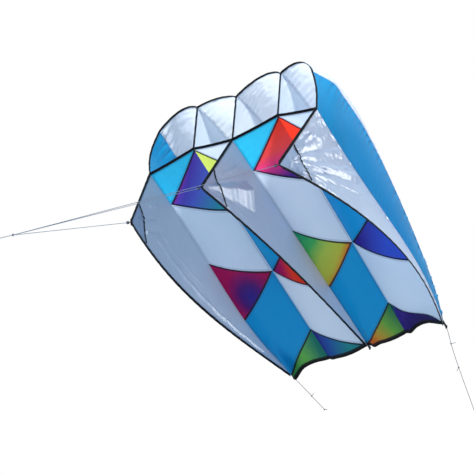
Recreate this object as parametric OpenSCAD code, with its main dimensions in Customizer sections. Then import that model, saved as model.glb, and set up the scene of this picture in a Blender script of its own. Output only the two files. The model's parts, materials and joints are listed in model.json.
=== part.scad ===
// Single-line parafoil kite: four open ram-air cells, five ribs, three keels and a three-leg bridle.
// Millimetres, +Z up, +Y from the leading edge to the trailing edge, +X towards the kite's right cell.
// The origin is the point where the flying line bears in the tow loop.

/* [Canopy] */
// Width across the inflated leading edge
span = 636; // [560:4:720]
// Length of the bottom skin from leading to trailing edge
chord = 900; // [800:10:1000]
// Height of the end ribs at the mouth
mouth_height = 158; // [138:5:178]
// Greatest height of the end ribs
crown_height = 210; // [195:5:230]
// How far the top skin reaches ahead of the bottom skin
overhang = 52; // [32:5:72]
// Rise of the top skin over an outer cell's mouth
outer_arch = 58; // [40:2:60]
// Rise of the top skin over an inner cell's mouth
inner_arch = 40; // [20:2:60]
// How far the end ribs lean inwards at the top of the mouth
rib_lean = 24; // [0:2:30]

/* [Keels] */
// Depth of the keels under the leading edge
keel_depth = 333; // [280:1:360]
// Outward bulge of the outer keels' free edges
keel_bulge = 68; // [0:4:80]

/* [Bridle] */
// Distance of the leading edge behind the tow loop
tow_forward = 656; // [600:2:700]
// Height of the leading edge above the tow loop
tow_below = 1398; // [1300:2:1450]
// Diameter of the bridle and tail lines
line_d = 1.8; // [1.4:0.2:2.4]

/* [Tapes] */
// Width of the folded edge tapes
tape_w = 8; // [6:1:10]
// Thickness of a folded edge tape
tape_t = 2.4; // [2:0.2:3]
// Thickness of a fabric panel's solid
skin_t = 1; // [0.8:0.1:1.2]

/* [Hidden] */
RIBS = [0, 1, 2, 3, 4];
CELLS = [1, 2, 3, 4];
LETTERS = ["a", "b", "c", "d", "e", "f"];
SIDES = ["left", "centre", "right"];
KEEL_RIB = [0, 2, 4];
gap = 0.3;                      // clearance between neighbouring pieces
shoulder = 10;                  // outward bulge of the end ribs' crown line behind the mouth
BLOWN = [0, 12, 0];             // sideways bulge of each keel's free edge in the wind
BLOWN_BACK = [0, 0, 18];        // and the same further back
root_gap = 9;                   // room at a keel's root seam for its sway
front_s = -overhang / chord;    // chord station of the top skin's front edge
tip_s = 0.985;                  // chord station where a keel's fabric ends
tip_u = 0.02;                   // how far a panel's sharp corner stops short of its rib
inner_half = 162;               // leading-edge distance from the centre rib to ribs 1 and 3
loop_len = 24;                  // keel tip to the eye of its webbing loop
loop_eye_r = 3.6;
loop_dir = [0, -0.5, -0.866];   // way the pull of the line leaves the keels
leader = 115;                   // bridle knot to the bearing point of the tow loop
pin_len = 10;                   // cord turn through a webbing loop
leg_start = 14;                 // room between a loop's eye and its leg, for the bridle's swing
tab_eye_r = 2;
tab_h = 12;
tab_eye_y = chord + tape_w + 14;

// Keel tips and the bridle knot, measured from the centre of the bottom leading edge
KEEL_TIP = [[-272, -33, -keel_depth], [0, -50, -keel_depth], [272, -33, -keel_depth]];
KEEL_HOLLOW = [20, 9, 20];      // how far a keel's free edge is cut in at its middle
KNOT = [0, -tow_forward, -tow_below] - leader * loop_dir;

// Routes of the two tail lines from the eyes of their tabs
TAIL_LEFT = [[4, 9, -3], [13, 31, -10], [25, 60, -19], [32, 78, -25], [43, 104, -34], [57, 134, -46]];
TAIL_RIGHT = [[0, 8, -5], [-1, 28, -18], [-3, 48, -31], [-4, 84, -55], [-4, 117, -76], [-3, 160, -104],
              [-1, 208, -136], [1, 250, -166]];
TAIL_KNOTS = [[3, 5], [2, 4, 7]];

COLOURS = [["deepskyblue", "indigo", "white", "crimson", "dodgerblue", "seagreen"],
           ["white", "yellowgreen", "dodgerblue", "crimson", "white", "teal"],
           ["deepskyblue", "orangered", "white", "olivedrab", "dodgerblue", "orange"],
           ["white", "orangered", "dodgerblue", "slateblue", "white", "indigo"]];
// Seam lines across odd and even cells: sevenths of the chord at the left and right rib
ODD_SEAMS = [[0, 0], [1, 0], [1, 2], [3, 4], [5, 4], [7, 6], [7, 7]];
EVEN_SEAMS = [[0, 0], [0, 1], [2, 1], [4, 3], [4, 5], [6, 7], [7, 7]];

// ---- shape of the inflated kite, from the centre of the bottom leading edge ----

function lerp(a, b, t) = a + (b - a) * t;
function steps(n) = [for (i = [0 : n]) i / n];
function side(i) = i < 2 ? -1 : i > 2 ? 1 : 0;
function end_x(s) = span / 2 - 20 * s + 28 * sin(180 * max(s, 0) ^ 2);
function rib_x(i, s) = side(i) * (i == 0 || i == 4 ? end_x(s) : inner_half - 12 * s);
function foot_z(i, s) = i == 2 ? 14 + 11 * s : i == 1 || i == 3 ? 58 - 38 * s : 0;
function rib_scale(i) = i == 2 ? 1.17 : i == 1 || i == 3 ? 1.12 : 1;
function section(s) = (s < 0.2
    ? crown_height - (crown_height - mouth_height) * ((0.2 - s) / (0.2 - front_s)) ^ 2
    : crown_height * (1 - 1.12 * (s - 0.2) ^ 2 / (s - 0.08))) * (1 - max(s, 0) ^ 20);
function crown_z(i, s) = foot_z(i, s) + tape_t + rib_scale(i) * section(s);
function lean(i, s) = i == 0 || i == 4 ? rib_lean * max(0, 1 - (s - front_s) / 0.14) ^ 1.5 : 0;
function crown_end_x(s) = let (off = (s - 0.03) / 0.05)
    span / 2 + 2 - 22 * s + 20 * sin(180 * max(s, 0)) + shoulder * exp(0 - off * off);
function crown_x(i, s) = i == 0 || i == 4 ? side(i) * (crown_end_x(s) - lean(i, s)) : rib_x(i, s);
function crown_point(i, s) = [crown_x(i, s), chord * s, crown_z(i, s)];
function foot_point(i, s) = [rib_x(i, s), chord * s, foot_z(i, s)];
function across(a, b) = let (d = b - a) [-d.z, 0, d.x] / norm([d.x, d.z]);
function bottom_belly(s) = 4 + 18 * sin(90 * min(1, 2 * s));
function arch(c) = c == 1 || c == 4 ? outer_arch : inner_arch;
function top_belly(c, s) = arch(c) * (1 - max(s, 0) ^ 3) - bottom_belly(1) * max(s, 0) ^ 8;
// The arches rise straight up at the mouth, and square to the line from rib to rib behind it
function rise(a, b, s) = let (t = min(1, (s - front_s) / (0.12 - front_s)),
                              way = lerp([0, 0, 1], across(a, b), t * t * (3 - 2 * t))) way / norm(way);
function top_point(c, u, s) = let (a = crown_point(c - 1, s), b = crown_point(c, s))
    lerp(a, b, u) + rise(a, b, s) * top_belly(c, s) * (4 * u * (1 - u)) ^ 0.9;
function bottom_point(c, u, s) = let (a = foot_point(c - 1, s), b = foot_point(c, s))
    lerp(a, b, u) - across(a, b) * bottom_belly(s) * 4 * u * (1 - u);

// Free edge of a keel, from its tip to the trailing edge
function keel_edge(k, s) = let (tip = KEEL_TIP[k], end = foot_point(KEEL_RIB[k], 1) - [0, 0, root_gap])
    lerp(tip, end, s) + [(k - 1) * keel_bulge + BLOWN[k], 0, KEEL_HOLLOW[k]] * sin(180 * s ^ 0.9)
        + [BLOWN_BACK[k], 0, 0] * sin(180 * s ^ 2);
function keel_root(k, s) = foot_point(KEEL_RIB[k], s) - [0, 0, root_gap];

// ---- builders ----

// Closed slab between a grid of points and the same grid moved by off
module slab(grid, off) {
    rows = len(grid);
    cols = len(grid[0]);
    count = rows * cols;
    points = [for (row = grid) each row, for (row = grid) for (p = row) p + off];
    r = floor(rows / 2);
    normal = cross(grid[r][0] - grid[r - 1][0], grid[r - 1][1] - grid[r - 1][0]);
    faces = [
        for (i = [0 : rows - 2]) for (j = [0 : cols - 2])
            let (a = i * cols + j, b = a + 1, c = a + cols, d = c + 1)
            each [[a, b, c], [b, d, c], [a + count, c + count, b + count], [b + count, c + count, d + count]],
        for (i = [0 : rows - 2]) for (j = [0, cols - 1])
            let (a = i * cols + j, b = a + cols)
            each j == 0 ? [[a, b, a + count], [b, b + count, a + count]]
                        : [[a, a + count, b], [b, a + count, b + count]],
        for (j = [0 : cols - 2]) for (i = [0, rows - 1])
            let (a = i * cols + j, b = a + 1)
            each i == 0 ? [[a, a + count, b], [b, a + count, b + count]]
                        : [[a, b, a + count], [b, b + count, a + count]]
    ];
    flip = normal * off < 0;
    polyhedron(points, flip ? [for (f = faces) [f[2], f[1], f[0]]] : faces);
}

// Round cord swept along a route, with a radius for each route point
module cord(route, radii, sides = 8) {
    last = len(route) - 1;
    points = [for (i = [0 : last])
        let (t = route[min(i + 1, last)] - route[max(i - 1, 0)],
             w = cross(t, abs(t.x) < 0.9 * norm(t) ? [1, 0, 0] : [0, 1, 0]),
             a = w / norm(w), b = cross(t, a) / norm(t))
        for (k = [0 : sides - 1]) route[i] + radii[i] * (a * cos(360 * k / sides) + b * sin(360 * k / sides))];
    faces = [
        [for (k = [sides - 1 : -1 : 0]) k],
        [for (k = [0 : sides - 1]) last * sides + k],
        for (i = [0 : last - 1]) for (k = [0 : sides - 1])
            let (a = i * sides + k, b = i * sides + (k + 1) % sides)
            each [[a, b, b + sides], [a, b + sides, a + sides]]
    ];
    polyhedron(points, [for (f = faces) [for (n = [len(f) - 1 : -1 : 0]) f[n]]]);
}

module in_place() {
    translate([0, tow_forward, tow_below]) children();
}

// ---- canopy ----

module top_panel(c) {
    grid = [for (k = steps(24)) let (s = lerp(front_s + gap / chord, 1, k))
            [for (u = steps(9)) top_point(c, u, s)]];
    color("white") in_place() slab(grid, [0, 0, -skin_t]);
}

module bottom_panel(c, n) {
    seams = c % 2 == 1 ? ODD_SEAMS : EVEN_SEAMS;
    near = seams[n] / 7;
    far = seams[n + 1] / 7;
    first = near[0] == far[0] ? tip_u : 0;
    last = near[1] == far[1] ? 1 - tip_u : 1;
    inset = gap / chord;
    grid = [for (k = steps(7)) let (u = lerp(first, last, k))
            [for (v = steps(4)) bottom_point(c, u, lerp(lerp(near[0], near[1], u) + inset,
                                                        lerp(far[0], far[1], u) - inset, v))]];
    color(COLOURS[c - 1][n]) in_place() slab(grid, [0, 0, skin_t]);
}

module rib(i) {
    inward = i == 4 ? -skin_t - gap : i == 0 ? gap : -skin_t / 2;
    under = [inward, 0, skin_t + gap];
    over = [inward, 0, -skin_t - 3 * gap];
    grid = [for (k = steps(28)) let (s = lerp(front_s * 0.96, 0.975, k),
                                     edge = lerp(foot_point(i, 0), crown_point(i, front_s), s / front_s))
            [s < 0 ? edge + [inward, 0, 0] : foot_point(i, s) + under, crown_point(i, s) + over]];
    color(i == 0 || i == 4 ? "dodgerblue" : "white") in_place() slab(grid, [skin_t, 0, 0]);
}

module mouth_top_tape() {
    color("black") in_place() for (c = CELLS) {
        grid = [for (u = steps(14)) let (p = top_point(c, u, front_s))
                [p - [0, tape_w, 0], p - [0, gap, 0]]];
        slab(grid, [0, 0, -tape_t]);
    }
}

module mouth_bottom_tape() {
    color("black") in_place() for (c = CELLS) {
        grid = [for (u = steps(8)) let (p = bottom_point(c, u, 0))
                [p - [0, tape_w, tape_t / 2], p - [0, gap, tape_t / 2]]];
        slab(grid, [0, 0, tape_t]);
    }
}

module rib_front_tapes() {
    color("black") in_place() for (i = RIBS) {
        low = foot_point(i, 0);
        high = crown_point(i, front_s);
        edge = (high - low) / norm(high - low);
        ahead = [0, -edge.z, edge.y] * tape_w;
        inward = i == 4 ? -tape_t : i == 0 ? 0 : -tape_t / 2;
        grid = [for (v = [0.04, 0.5, 0.96]) let (p = lerp(low, high, v) + [inward, 0, 0])
                [p + ahead, p + ahead * 0.04]];
        slab(grid, [tape_t, 0, 0]);
    }
}

module trailing_tape() {
    color("black") in_place() for (c = CELLS) {
        grid = [for (u = steps(10)) let (p = bottom_point(c, u, 1))
                [p + [0, gap, 0], p + [0, tape_w, 0]]];
        slab(grid, [0, 0, tape_t]);
    }
}

// Webbing folded round a vertical eye, standing on the rib's tail end
module tail_tab(i) {
    eye = foot_point(i, 1) + [0, tab_eye_y - chord, tape_t / 2 - tab_h / 2];
    difference() {
        union() {
            translate(eye) cylinder(r = tab_eye_r + 1.2, h = tab_h, $fn = 32);
            translate(eye - [1.5, 13.5, 0]) cube([3, 13.5, tab_h]);
        }
        translate(eye - [0, 0, 1]) cylinder(r = tab_eye_r, h = tab_h + 2, $fn = 32);
    }
}

module tail_tabs() {
    color("black") in_place() for (i = KEEL_RIB) tail_tab(i);
}

// ---- keels ----

module keel(k) {
    grid = [for (n = steps(18)) let (s = n * tip_s)
            [for (v = steps(6)) lerp(keel_root(k, s), keel_edge(k, s), v) - [skin_t / 2, 0, 0]]];
    color("whitesmoke") in_place() slab(grid, [skin_t, 0, 0]);
}

module keel_tape(k) {
    root = keel_root(k, 0);
    tip = KEEL_TIP[k];
    down = (tip - root) / norm(tip - root);
    ahead = [0, down.z, -down.y];
    under = [0, 0.335, -0.943];
    corner = (ahead + under) / norm(ahead + under) * 1.85;
    start = gap / tape_w;
    inner = [for (v = steps(4)) each v < 1 ? [lerp(root, tip, v)] : [],
             for (n = steps(20)) keel_edge(k, n * tip_s)];
    ways = [for (v = steps(4)) each v < 1 ? [ahead] : [], corner, for (n = [1 : 20]) under];
    grid = [for (n = [0 : len(inner) - 1]) let (p = inner[n] - [tape_t / 2, 0, 0])
            [p + ways[n] * tape_w * start, p + ways[n] * tape_w]];
    color("black") in_place() slab(grid, [tape_t, 0, 0]);
}

// Second layer of cloth over the loaded corner, lying on the keel's right face
module corner_patch(k) {
    face = skin_t / 2 + (k == 0 ? 5.5 : 3) * gap;
    grid = [for (n = steps(12)) let (s = 0.002 + n * 0.12)
            [for (m = steps(4)) lerp(keel_root(k, s), keel_edge(k, s), lerp(lerp(0.64, 0.985, n), 0.99, m))
                + [face, 0, 0]]];
    color("gainsboro") in_place() slab(grid, [skin_t / 2, 0, 0]);
}

function loop_eye(k) = KEEL_TIP[k] + loop_len * loop_dir;

// Webbing loop sewn to a keel's tip, its eye across the keel
module keel_loop(k) {
    turn = atan2(loop_dir.z, loop_dir.y);
    start = 1.85 * tape_w + gap;
    color("black") in_place() translate(KEEL_TIP[k]) rotate([turn, 0, 0]) difference() {
        union() {
            translate([-3, start, -1.6]) cube([6, loop_len - start, 3.2]);
            translate([-3, loop_len, 0]) rotate([0, 90, 0]) cylinder(r = loop_eye_r + 1, h = 6, $fn = 32);
        }
        translate([-4, loop_len, 0]) rotate([0, 90, 0]) cylinder(r = loop_eye_r, h = 8, $fn = 32);
    }
}

// ---- bridle ----

// The turn of each leg's cord that lies in its webbing loop's eye
module leg_hitches() {
    color("gainsboro") in_place() for (k = [0 : 2])
        translate(loop_eye(k) - [pin_len / 2, 0, 0]) rotate([0, 90, 0])
            cylinder(r = line_d / 2, h = pin_len, $fn = 24);
}

module bridle_leg(k) {
    start = loop_eye(k);
    way = (KNOT - start) / norm(KNOT - start);
    color("gainsboro") in_place()
        cord([for (n = steps(8)) lerp(start + leg_start * way, KNOT, n)], [for (n = steps(8)) line_d / 2]);
}

module bridle_knot() {
    color("gainsboro") in_place() translate(KNOT) sphere(r = 4.5, $fn = 32);
}

// Leader from the bridle knot, ending in the loop that the flying line is tied to
module tow_line() {
    knot_at = 68;
    bend_r = 7;
    bend_at = leader - bend_r;
    run = norm([bend_at - knot_at, bend_r]);
    turn = atan2(loop_dir.z, loop_dir.y);
    color("gainsboro") in_place() translate(KNOT) rotate([turn, 0, 0]) rotate([-90, 0, 0]) {
        cylinder(d = line_d, h = knot_at, $fn = 16);
        translate([0, 0, knot_at]) sphere(r = 2.6, $fn = 24);
        for (m = [-1, 1])
            translate([0, 0, knot_at]) rotate([0, m * atan2(bend_r, bend_at - knot_at), 0])
                cylinder(d = line_d, h = run, $fn = 16);
        translate([0, 0, bend_at]) rotate([90, 0, 0])
            rotate_extrude(angle = 180, $fn = 48) translate([bend_r, 0]) circle(d = line_d, $fn = 16);
    }
}

// ---- tail lines ----

module tail_line(k) {
    route = k == 0 ? TAIL_LEFT : TAIL_RIGHT;
    eye = foot_point(4 * k, 1) + [0, tab_eye_y - chord, 0];
    knots = TAIL_KNOTS[k];
    fine = [for (n = [0 : len(route) - 1]) each len([for (m = knots) if (m == n) m]) > 0
        ? let (way = (route[n] - route[n - 1]) / norm(route[n] - route[n - 1]))
          [for (m = [[-3, 1], [-1.5, 2], [1.5, 2], [3, 1]]) [route[n] + m[0] * way, m[1]]]
        : [[route[n], 1]]];
    color("gray") in_place() cord([for (f = fine) eye + f[0]], [for (f = fine) line_d / 2 * f[1]]);
}

for (c = CELLS)
    top_panel(c);
for (c = CELLS) for (n = [0 : 5])
    bottom_panel(c, n);
for (i = RIBS)
    rib(i);
mouth_top_tape();
mouth_bottom_tape();
rib_front_tapes();
trailing_tape();
tail_tabs();
for (k = [0 : 2]) {
    keel(k);
    keel_tape(k);
    corner_patch(k);
    keel_loop(k);
    bridle_leg(k);
}
leg_hitches();
bridle_knot();
tow_line();
tail_line(0);  // tail_line_left
tail_line(1);  // tail_line_right
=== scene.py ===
"""Looks of the single-line parafoil kite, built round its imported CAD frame. Metres, +Z up, +Y to the tail.

The order is: camera and cords, then the shape of the inflated kite, its cloth, its edge bindings,
webbing and knots, and last the light. A station s runs along the chord from 0 at the bottom leading
edge to 1 at the trailing edge, and u runs across a cell from its left rib to its right rib.
"""

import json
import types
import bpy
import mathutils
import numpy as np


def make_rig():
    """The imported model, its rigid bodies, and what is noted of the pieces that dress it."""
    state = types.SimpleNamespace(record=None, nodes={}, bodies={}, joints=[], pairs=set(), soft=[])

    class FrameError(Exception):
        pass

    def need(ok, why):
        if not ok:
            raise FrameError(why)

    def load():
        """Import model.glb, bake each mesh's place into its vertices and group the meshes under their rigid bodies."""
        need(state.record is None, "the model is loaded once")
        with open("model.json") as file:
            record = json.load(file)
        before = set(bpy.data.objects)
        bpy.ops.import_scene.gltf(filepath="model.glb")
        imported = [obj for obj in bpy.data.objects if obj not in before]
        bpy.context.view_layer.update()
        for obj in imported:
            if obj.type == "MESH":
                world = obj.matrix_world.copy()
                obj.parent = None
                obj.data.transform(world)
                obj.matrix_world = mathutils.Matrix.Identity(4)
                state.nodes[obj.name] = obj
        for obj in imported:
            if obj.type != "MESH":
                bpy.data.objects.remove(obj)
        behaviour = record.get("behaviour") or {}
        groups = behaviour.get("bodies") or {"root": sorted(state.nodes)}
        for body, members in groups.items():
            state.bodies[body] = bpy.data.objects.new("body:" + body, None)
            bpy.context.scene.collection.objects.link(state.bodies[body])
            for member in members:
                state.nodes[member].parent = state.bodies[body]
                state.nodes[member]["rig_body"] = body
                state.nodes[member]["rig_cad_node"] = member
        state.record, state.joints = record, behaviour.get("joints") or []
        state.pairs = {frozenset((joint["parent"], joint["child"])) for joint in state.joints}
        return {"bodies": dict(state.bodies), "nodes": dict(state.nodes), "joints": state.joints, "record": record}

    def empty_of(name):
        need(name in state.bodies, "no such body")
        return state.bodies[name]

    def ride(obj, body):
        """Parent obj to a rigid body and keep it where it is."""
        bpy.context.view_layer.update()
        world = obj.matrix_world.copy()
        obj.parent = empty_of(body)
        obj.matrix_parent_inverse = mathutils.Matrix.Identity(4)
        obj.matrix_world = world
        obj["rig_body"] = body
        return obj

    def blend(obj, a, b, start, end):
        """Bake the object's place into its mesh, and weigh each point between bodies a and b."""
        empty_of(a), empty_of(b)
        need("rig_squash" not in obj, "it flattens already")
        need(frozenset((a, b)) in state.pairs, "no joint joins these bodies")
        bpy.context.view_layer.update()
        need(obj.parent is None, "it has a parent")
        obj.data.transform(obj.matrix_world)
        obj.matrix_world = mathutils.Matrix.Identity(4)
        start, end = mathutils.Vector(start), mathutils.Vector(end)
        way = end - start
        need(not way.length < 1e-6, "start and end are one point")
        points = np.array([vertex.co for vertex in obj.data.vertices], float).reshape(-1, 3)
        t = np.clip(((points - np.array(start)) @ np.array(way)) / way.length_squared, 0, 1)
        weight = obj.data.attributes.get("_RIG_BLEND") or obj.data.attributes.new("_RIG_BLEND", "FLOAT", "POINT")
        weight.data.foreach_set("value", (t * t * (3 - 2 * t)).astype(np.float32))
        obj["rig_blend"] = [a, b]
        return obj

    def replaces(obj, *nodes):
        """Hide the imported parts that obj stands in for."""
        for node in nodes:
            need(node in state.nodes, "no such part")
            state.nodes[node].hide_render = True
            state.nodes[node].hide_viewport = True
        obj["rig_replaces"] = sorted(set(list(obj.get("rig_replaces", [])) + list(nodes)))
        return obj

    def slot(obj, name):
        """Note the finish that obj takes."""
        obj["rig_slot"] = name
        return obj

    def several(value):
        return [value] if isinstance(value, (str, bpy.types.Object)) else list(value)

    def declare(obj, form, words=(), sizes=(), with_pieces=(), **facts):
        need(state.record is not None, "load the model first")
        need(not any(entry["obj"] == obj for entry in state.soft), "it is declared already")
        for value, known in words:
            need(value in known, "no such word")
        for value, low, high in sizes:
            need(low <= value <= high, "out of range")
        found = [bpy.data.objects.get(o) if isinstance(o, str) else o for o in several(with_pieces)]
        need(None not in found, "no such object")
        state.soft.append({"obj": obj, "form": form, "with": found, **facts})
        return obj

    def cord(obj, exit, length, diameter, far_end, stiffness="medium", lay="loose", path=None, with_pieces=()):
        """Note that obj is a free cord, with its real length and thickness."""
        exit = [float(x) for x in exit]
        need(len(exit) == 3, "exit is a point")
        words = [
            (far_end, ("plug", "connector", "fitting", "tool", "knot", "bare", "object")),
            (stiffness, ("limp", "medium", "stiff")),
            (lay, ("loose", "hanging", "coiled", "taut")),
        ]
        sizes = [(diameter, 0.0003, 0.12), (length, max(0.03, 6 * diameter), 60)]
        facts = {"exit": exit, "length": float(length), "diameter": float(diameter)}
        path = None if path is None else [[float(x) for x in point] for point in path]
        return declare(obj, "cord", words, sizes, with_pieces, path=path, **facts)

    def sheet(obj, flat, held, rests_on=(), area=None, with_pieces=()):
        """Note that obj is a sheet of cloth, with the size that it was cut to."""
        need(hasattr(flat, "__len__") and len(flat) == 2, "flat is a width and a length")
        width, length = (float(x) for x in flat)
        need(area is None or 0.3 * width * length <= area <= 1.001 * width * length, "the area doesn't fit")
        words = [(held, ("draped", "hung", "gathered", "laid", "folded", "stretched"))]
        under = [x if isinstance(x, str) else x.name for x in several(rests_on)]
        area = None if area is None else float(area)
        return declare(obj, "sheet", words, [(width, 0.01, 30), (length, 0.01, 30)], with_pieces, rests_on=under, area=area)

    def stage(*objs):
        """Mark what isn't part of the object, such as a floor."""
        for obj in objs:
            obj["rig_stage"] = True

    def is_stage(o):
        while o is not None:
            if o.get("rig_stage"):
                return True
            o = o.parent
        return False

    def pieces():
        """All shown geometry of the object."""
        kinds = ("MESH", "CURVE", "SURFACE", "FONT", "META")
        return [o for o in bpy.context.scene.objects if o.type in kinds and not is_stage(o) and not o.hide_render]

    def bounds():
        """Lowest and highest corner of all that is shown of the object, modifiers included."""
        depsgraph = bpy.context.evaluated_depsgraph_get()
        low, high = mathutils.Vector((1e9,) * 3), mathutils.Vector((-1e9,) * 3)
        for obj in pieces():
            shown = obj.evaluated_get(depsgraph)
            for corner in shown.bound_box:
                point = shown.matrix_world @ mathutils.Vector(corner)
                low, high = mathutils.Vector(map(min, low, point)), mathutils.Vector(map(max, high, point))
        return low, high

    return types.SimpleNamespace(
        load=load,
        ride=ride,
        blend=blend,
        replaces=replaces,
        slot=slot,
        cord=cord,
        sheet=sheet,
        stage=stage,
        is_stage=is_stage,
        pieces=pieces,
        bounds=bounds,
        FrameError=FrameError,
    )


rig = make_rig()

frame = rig.load()
cad_low, cad_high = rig.bounds()

import json
import math

import bpy
import numpy as np
from mathutils import Matrix, Vector, noise

PI = math.pi
RIBS = (0, 1, 2, 3, 4)
CELLS = (1, 2, 3, 4)
SIDES = ("left", "centre", "right")
KEEL_RIB = (0, 2, 4)
LETTERS = "abcdef"

# ---- driving sizes of the kite, as in its CAD source ----

LEADING_EDGE = np.array([0, 0.656, 1.398])     # centre of the bottom leading edge
SPAN, CHORD = 0.636, 0.9
MOUTH_H, CROWN_H = 0.158, 0.210
CREST = 0.2                                    # station where an end rib is highest
FRONT_S = -0.052 / CHORD                       # station of the top skin's front edge
OUTER_ARCH, INNER_ARCH = 0.058, 0.040
RIB_LEAN, SHOULDER = 0.024, {0: 0.002, 4: 0.010}
LEAN_REACH = {0: 0.26, 4: 0.14}                # the wind fills the right side more than the left
INNER_HALF, OUTER_CELL = 0.162, 0.168          # widths of the inner and outer cells' bottom skins
KEEL_TIP = 0.001 * np.array([[-272, -33, -338], [0, -50, -327], [272, -33, -338]])
KEEL_BULGE = 0.068
KEEL_HOLLOW = (0.020, 0.009, 0.020)
BLOWN = (0, 0.012, 0)                          # sideways bulge of each keel's free edge in the wind
BLOWN_BACK = (0, 0, 0.018)                     # and the same further back
ROOT_GAP = 0.009
TAPE_W, TAPE_T = 0.008, 0.0024
LINE_D = 0.0018
PULL = np.array([0, -0.5, -0.866])             # way the flying line pulls
LOOP_LEN = 0.024                               # keel tip to the eye of its webbing loop
LEADER = 0.115                                 # bridle knot to the bearing point of the tow loop
TAB_EYE_X, TAB_EYE_Y = SPAN / 2 - 0.020, CHORD + 0.022
# Seam lines across odd and even cells: sevenths of the chord at the cell's left and right rib
ODD_SEAMS = ((0, 0), (1, 0), (1, 2), (3, 4), (5, 4), (7, 6), (7, 7))
EVEN_SEAMS = ((0, 0), (0, 1), (2, 1), (4, 3), (4, 5), (6, 7), (7, 7))

# ---- small tools ----


def unit(v):
    """Vectors along the last axis, made one long."""
    v = np.asarray(v, float)
    return v / np.maximum(np.linalg.norm(v, axis=-1, keepdims=True), 1e-12)


def lerp(a, b, t):
    return a + (b - a) * t


def smooth(low, high, x):
    """Smoothstep from 0 at low to 1 at high."""
    t = np.clip((x - low) / (high - low), 0, 1)
    return t * t * (3 - 2 * t)


def within(margin, x):
    """1 in the middle of 0 to 1, and down to 0 at both ends over the margin."""
    return smooth(0, margin, x) * smooth(0, margin, 1 - x)


def linear(r, g, b):
    """A colour given on the 0 to 255 screen scale, as the linear colour that shaders take."""
    return tuple(c / 255 / 12.92 if c < 11 else ((c / 255 + 0.055) / 1.055) ** 2.4 for c in (r, g, b)) + (1,)


def stacked(x, y, z):
    return np.stack(np.broadcast_arrays(x, y, z), -1)


def placed(points):
    """Points measured from the leading edge, in the row frame."""
    return np.asarray(points, float) + LEADING_EDGE


def lengths_along(path):
    """Running length along a row of points, from 0."""
    return np.concatenate([[0], np.cumsum(np.linalg.norm(np.diff(path, axis=0), axis=1))])


def evenly(path, count):
    """The same line with count points at even distances."""
    along = lengths_along(path)
    at = np.linspace(0, along[-1], count)
    return np.stack([np.interp(at, along, path[:, k]) for k in range(3)], axis=1)


def rounded(path, count):
    """A smooth curve through the points of a route: cubic pieces with the slopes of a Catmull-Rom spline."""
    path = np.asarray(path, float)
    ends = np.vstack([2 * path[0] - path[1], path, 2 * path[-1] - path[-2]])
    fine = []
    for a, b, c, d in zip(ends[:-3], ends[1:-2], ends[2:-1], ends[3:]):
        for t in np.linspace(0, 1, 12, endpoint=False):
            fine.append(0.5 * (2 * b + (c - a) * t + (2 * a - 5 * b + 4 * c - d) * t ** 2
                               + (3 * b - a - 3 * c + d) * t ** 3))
    return evenly(np.array(fine + [path[-1]]), count)


# ---- node trees ----


class Tree:
    """The node tree of a material or a world, with one call for each node."""

    def __init__(self, owner):
        owner.use_nodes = True
        self.owner, self.nodes, self.link = owner, owner.node_tree.nodes, owner.node_tree.links.new
        self.nodes.clear()

    def node(self, kind, sockets=None, **settings):
        """Adds a node. A socket's value is a number, a colour or another node's output."""
        made = self.nodes.new("ShaderNode" + kind)
        for key, value in settings.items():
            setattr(made, key, value)
        for key, value in (sockets or {}).items():
            if isinstance(value, bpy.types.NodeSocket):
                self.link(value, made.inputs[key])
            else:
                made.inputs[key].default_value = value
        return made

    def math(self, operation, *values):
        return self.node("Math", dict(enumerate(values)), operation=operation).outputs[0]

    def times(self, a, b):
        return self.math("MULTIPLY", a, b)

    def distance(self, a, b):
        return self.math("ABSOLUTE", self.math("SUBTRACT", a, b))

    def phase(self, value, pitch):
        """How far the value is through its pitch, from 0 to 1 again and again."""
        return self.math("FRACT", self.math("DIVIDE", value, pitch))

    def waves(self, value, pitch):
        return self.math("SINE", self.times(value, 2 * PI / pitch))

    def coordinates(self, uv_map):
        """The two coordinates that a piece keeps in one of its UV maps."""
        both = self.node("SeparateXYZ", {0: self.node("UVMap", uv_map=uv_map).outputs[0]})
        return both.outputs[0], both.outputs[1]

    def between(self, value, low, high):
        """0 where value is past low, 1 where it is past high, smooth in between. Either may be the higher."""
        sockets = {"Value": value, "From Min": min(low, high), "From Max": max(low, high)}
        if low > high:
            sockets.update({"To Min": 1.0, "To Max": 0.0})
        return self.node("MapRange", sockets, interpolation_type="SMOOTHSTEP").outputs[0]

    def stitches(self, away, along, row, row_edge, gap):
        """1 on the stitches that run along an edge at the distance row. The pairs say how sharp they are."""
        return self.times(self.between(self.distance(away, row), *row_edge),
                          self.between(self.phase(along, STITCH_PITCH), *gap))

    def blend(self, share, a, b, how="MIX"):
        mixed = self.node("Mix", {0: share, 6: a, 7: b}, data_type="RGBA", blend_type=how)
        return mixed.outputs[2]

    def noise(self, scale, detail=3.0):
        where = self.node("TexCoord").outputs["Object"]
        return self.node("TexNoise", {"Vector": where, "Scale": scale, "Detail": detail}).outputs[0]

    def bump(self, height, distance, under=None):
        sockets = {"Height": height, "Distance": distance, "Strength": 1.0}
        if under is not None:
            sockets["Normal"] = under
        return self.node("Bump", sockets).outputs[0]

    def ramp(self, value, stops):
        """Colours at places from 0 to 1."""
        made = self.node("ValToRGB", {0: value})
        keys = made.color_ramp.elements
        while len(keys) < len(stops):
            keys.new(0.5)
        for key, (at, colour) in zip(keys, stops):
            key.position, key.color = at, colour
        return made.outputs[0]

    def finish(self, shader):
        self.node("OutputMaterial", {0: shader})
        return self.owner


def material_tree(name):
    return Tree(bpy.data.materials.new(name))


WEAVE_PITCH = 0.0055          # distance between the thick threads of the ripstop
SEAM_BAND = 0.007             # width of the turned seam allowance
STITCH_PITCH = 0.0035


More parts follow.
